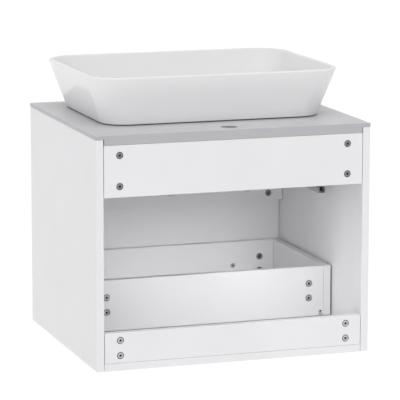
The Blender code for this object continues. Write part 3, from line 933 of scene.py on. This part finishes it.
def runners():
    """Each runner's three members, and the bent tab at the rear of the drawer's member."""
    rise = 0.0012
    screw_head = screw_mesh("runner_screw", 0.0038, rise)
    for drawer in DRAWERS:
        for side, name in SIDES:
            eased(f"{drawer}_{name}_middle_runner", SHEET_EASE, SHEET_EDGE)
            drawer_runner(drawer, name)
            fixed_runner(drawer, name, side, screw_head, rise)
            hook_tab(drawer, name, side)


# ---------------------------------------------------------------- studio


def floor():
    """A pale floor that glows a little, so that it reads as white and keeps a faint shadow."""
    grey, low_grey, high_grey = ((value, value, value) for value in (0.35, 0.34, 0.36))
    mesh = bpy.data.meshes.new("floor")
    shape = bmesh.new()
    bmesh.ops.create_grid(shape, x_segments=1, y_segments=1, size=30.0)
    shape.to_mesh(mesh)
    shape.free()
    plane = loose("floor", mesh)
    plane.location.z = -0.0005
    finish, tree, shader = new_material("studio_floor", grey, 0.9)
    cloud = noise(tree, coordinates(tree), 0.8, 1.0)
    tone = ramp(tree, cloud, [(0.3, low_grey), (0.7, high_grey)])
    tree.links.new(tone, shader.inputs["Base Color"])
    shader.inputs["Emission Color"].default_value = WHITE
    shader.inputs["Emission Strength"].default_value = FLOOR_GLOW
    mesh.materials.append(finish)


def backdrop():
    """White to the eye, banded in reflections, and dimmer as a light so that the suns can shape."""
    world = bpy.data.worlds.new("studio")
    world.use_nodes = True
    tree = world.node_tree
    sky = tree.nodes["Background"]
    sky.inputs["Color"].default_value = WHITE
    sky.inputs["Strength"].default_value = SKY
    seen = tree.nodes.new("ShaderNodeBackground")
    seen.inputs["Color"].default_value = WHITE

    direction = tree.nodes.new("ShaderNodeTexCoord")
    split = tree.nodes.new("ShaderNodeSeparateXYZ")
    tree.links.new(direction.outputs["Generated"], split.inputs["Vector"])
    banks = ramp(tree, split.outputs["Z"], [(at, (value, value, value)) for at, value in BANKS])
    mirrored = tree.nodes.new("ShaderNodeBackground")
    tree.links.new(banks, mirrored.inputs["Color"])

    ray = tree.nodes.new("ShaderNodeLightPath")
    surface = sky.outputs["Background"]
    for kind, shown in (("Is Glossy Ray", mirrored), ("Is Camera Ray", seen)):
        mix = tree.nodes.new("ShaderNodeMixShader")
        tree.links.new(ray.outputs[kind], mix.inputs["Fac"])
        tree.links.new(surface, mix.inputs[1])
        tree.links.new(shown.outputs["Background"], mix.inputs[2])
        surface = mix.outputs["Shader"]
    tree.links.new(surface, tree.nodes["World Output"].inputs["Surface"])
    bpy.context.scene.world = world


def suns():
    for name, azimuth, elevation, strength, spread in SUNS:
        data = bpy.data.lights.new(name, "SUN")
        data.energy = strength
        data.angle = math.radians(spread)
        sun = loose(name, data)
        turn = math.radians(azimuth)
        rise = math.radians(elevation)
        towards = Vector(
            (math.sin(turn) * math.cos(rise), math.cos(turn) * math.cos(rise), math.sin(rise))
        )
        sun.rotation_euler = towards.to_track_quat("Z", "Y").to_euler()
        sun.visible_glossy = False


def fills():
    for name, place, aim, width, height, power, spread in FILLS:
        data = bpy.data.lights.new(name, "AREA")
        data.spread = math.radians(spread)
        data.shape = "RECTANGLE"
        data.size = width
        data.size_y = height
        data.energy = power
        panel = loose(name, data)
        panel.location = place
        panel.rotation_euler = (Vector(place) - Vector(aim)).to_track_quat("Z", "Y").to_euler()
        panel.visible_camera = False
        panel.visible_glossy = False


def camera():
    """Stands on the wall side and looks towards the front, a little down."""
    forward = Vector(
        (
            -math.sin(CAMERA_YAW) * math.cos(CAMERA_PITCH),
            -math.cos(CAMERA_YAW) * math.cos(CAMERA_PITCH),
            -math.sin(CAMERA_PITCH),
        )
    )
    right = Vector((-math.cos(CAMERA_YAW), math.sin(CAMERA_YAW), 0.0))
    up = right.cross(forward)
    cos_roll, sin_roll = math.cos(CAMERA_ROLL), math.sin(CAMERA_ROLL)
    rolled_right = cos_roll * right + sin_roll * up
    rolled_up = cos_roll * up - sin_roll * right
    turn = Matrix((rolled_right, rolled_up, -forward)).transposed().to_4x4()
    data = bpy.data.cameras.new("camera")
    data.lens = CAMERA_LENS
    data.sensor_width = 36.0
    data.clip_end = 100.0
    obj = loose("camera", data)
    obj.matrix_world = Matrix.Translation(CAMERA_AT) @ turn
    bpy.context.scene.camera = obj


def boards():
    """Every melamine board; the rails' ends and the lower drawer's edge are set back a little."""
    rail_trim = 0.0006
    drawer_lift = 0.0012
    lifted = ("lower_drawer_left_side", "lower_drawer_right_side", "lower_drawer_back")
    for node, slot in SLOT.items():
        if slot == "white_melamine":
            trim = rail_trim if "rail" in node else 0.0
            lift = drawer_lift if node in lifted else 0.0
            eased(node, trim=trim, lift=lift)


def main():
    bpy.context.scene.view_settings.view_transform = "Standard"
    camera()
    floor()
    backdrop()
    suns()
    fills()
    for node, obj in frame["nodes"].items():
        obj.data.materials.clear()
        obj.data.materials.append(FINISH[SLOT[node]])
    boards()
    countertop()
    cams()
    basin()
    basin_seal()
    waste_tube()
    waste_plug()
    waste_washer()
    waste_nut()
    front_screws()
    runners()
    eased("upper_drawer_cutout_liner", 0.0005, 0.003)


main()
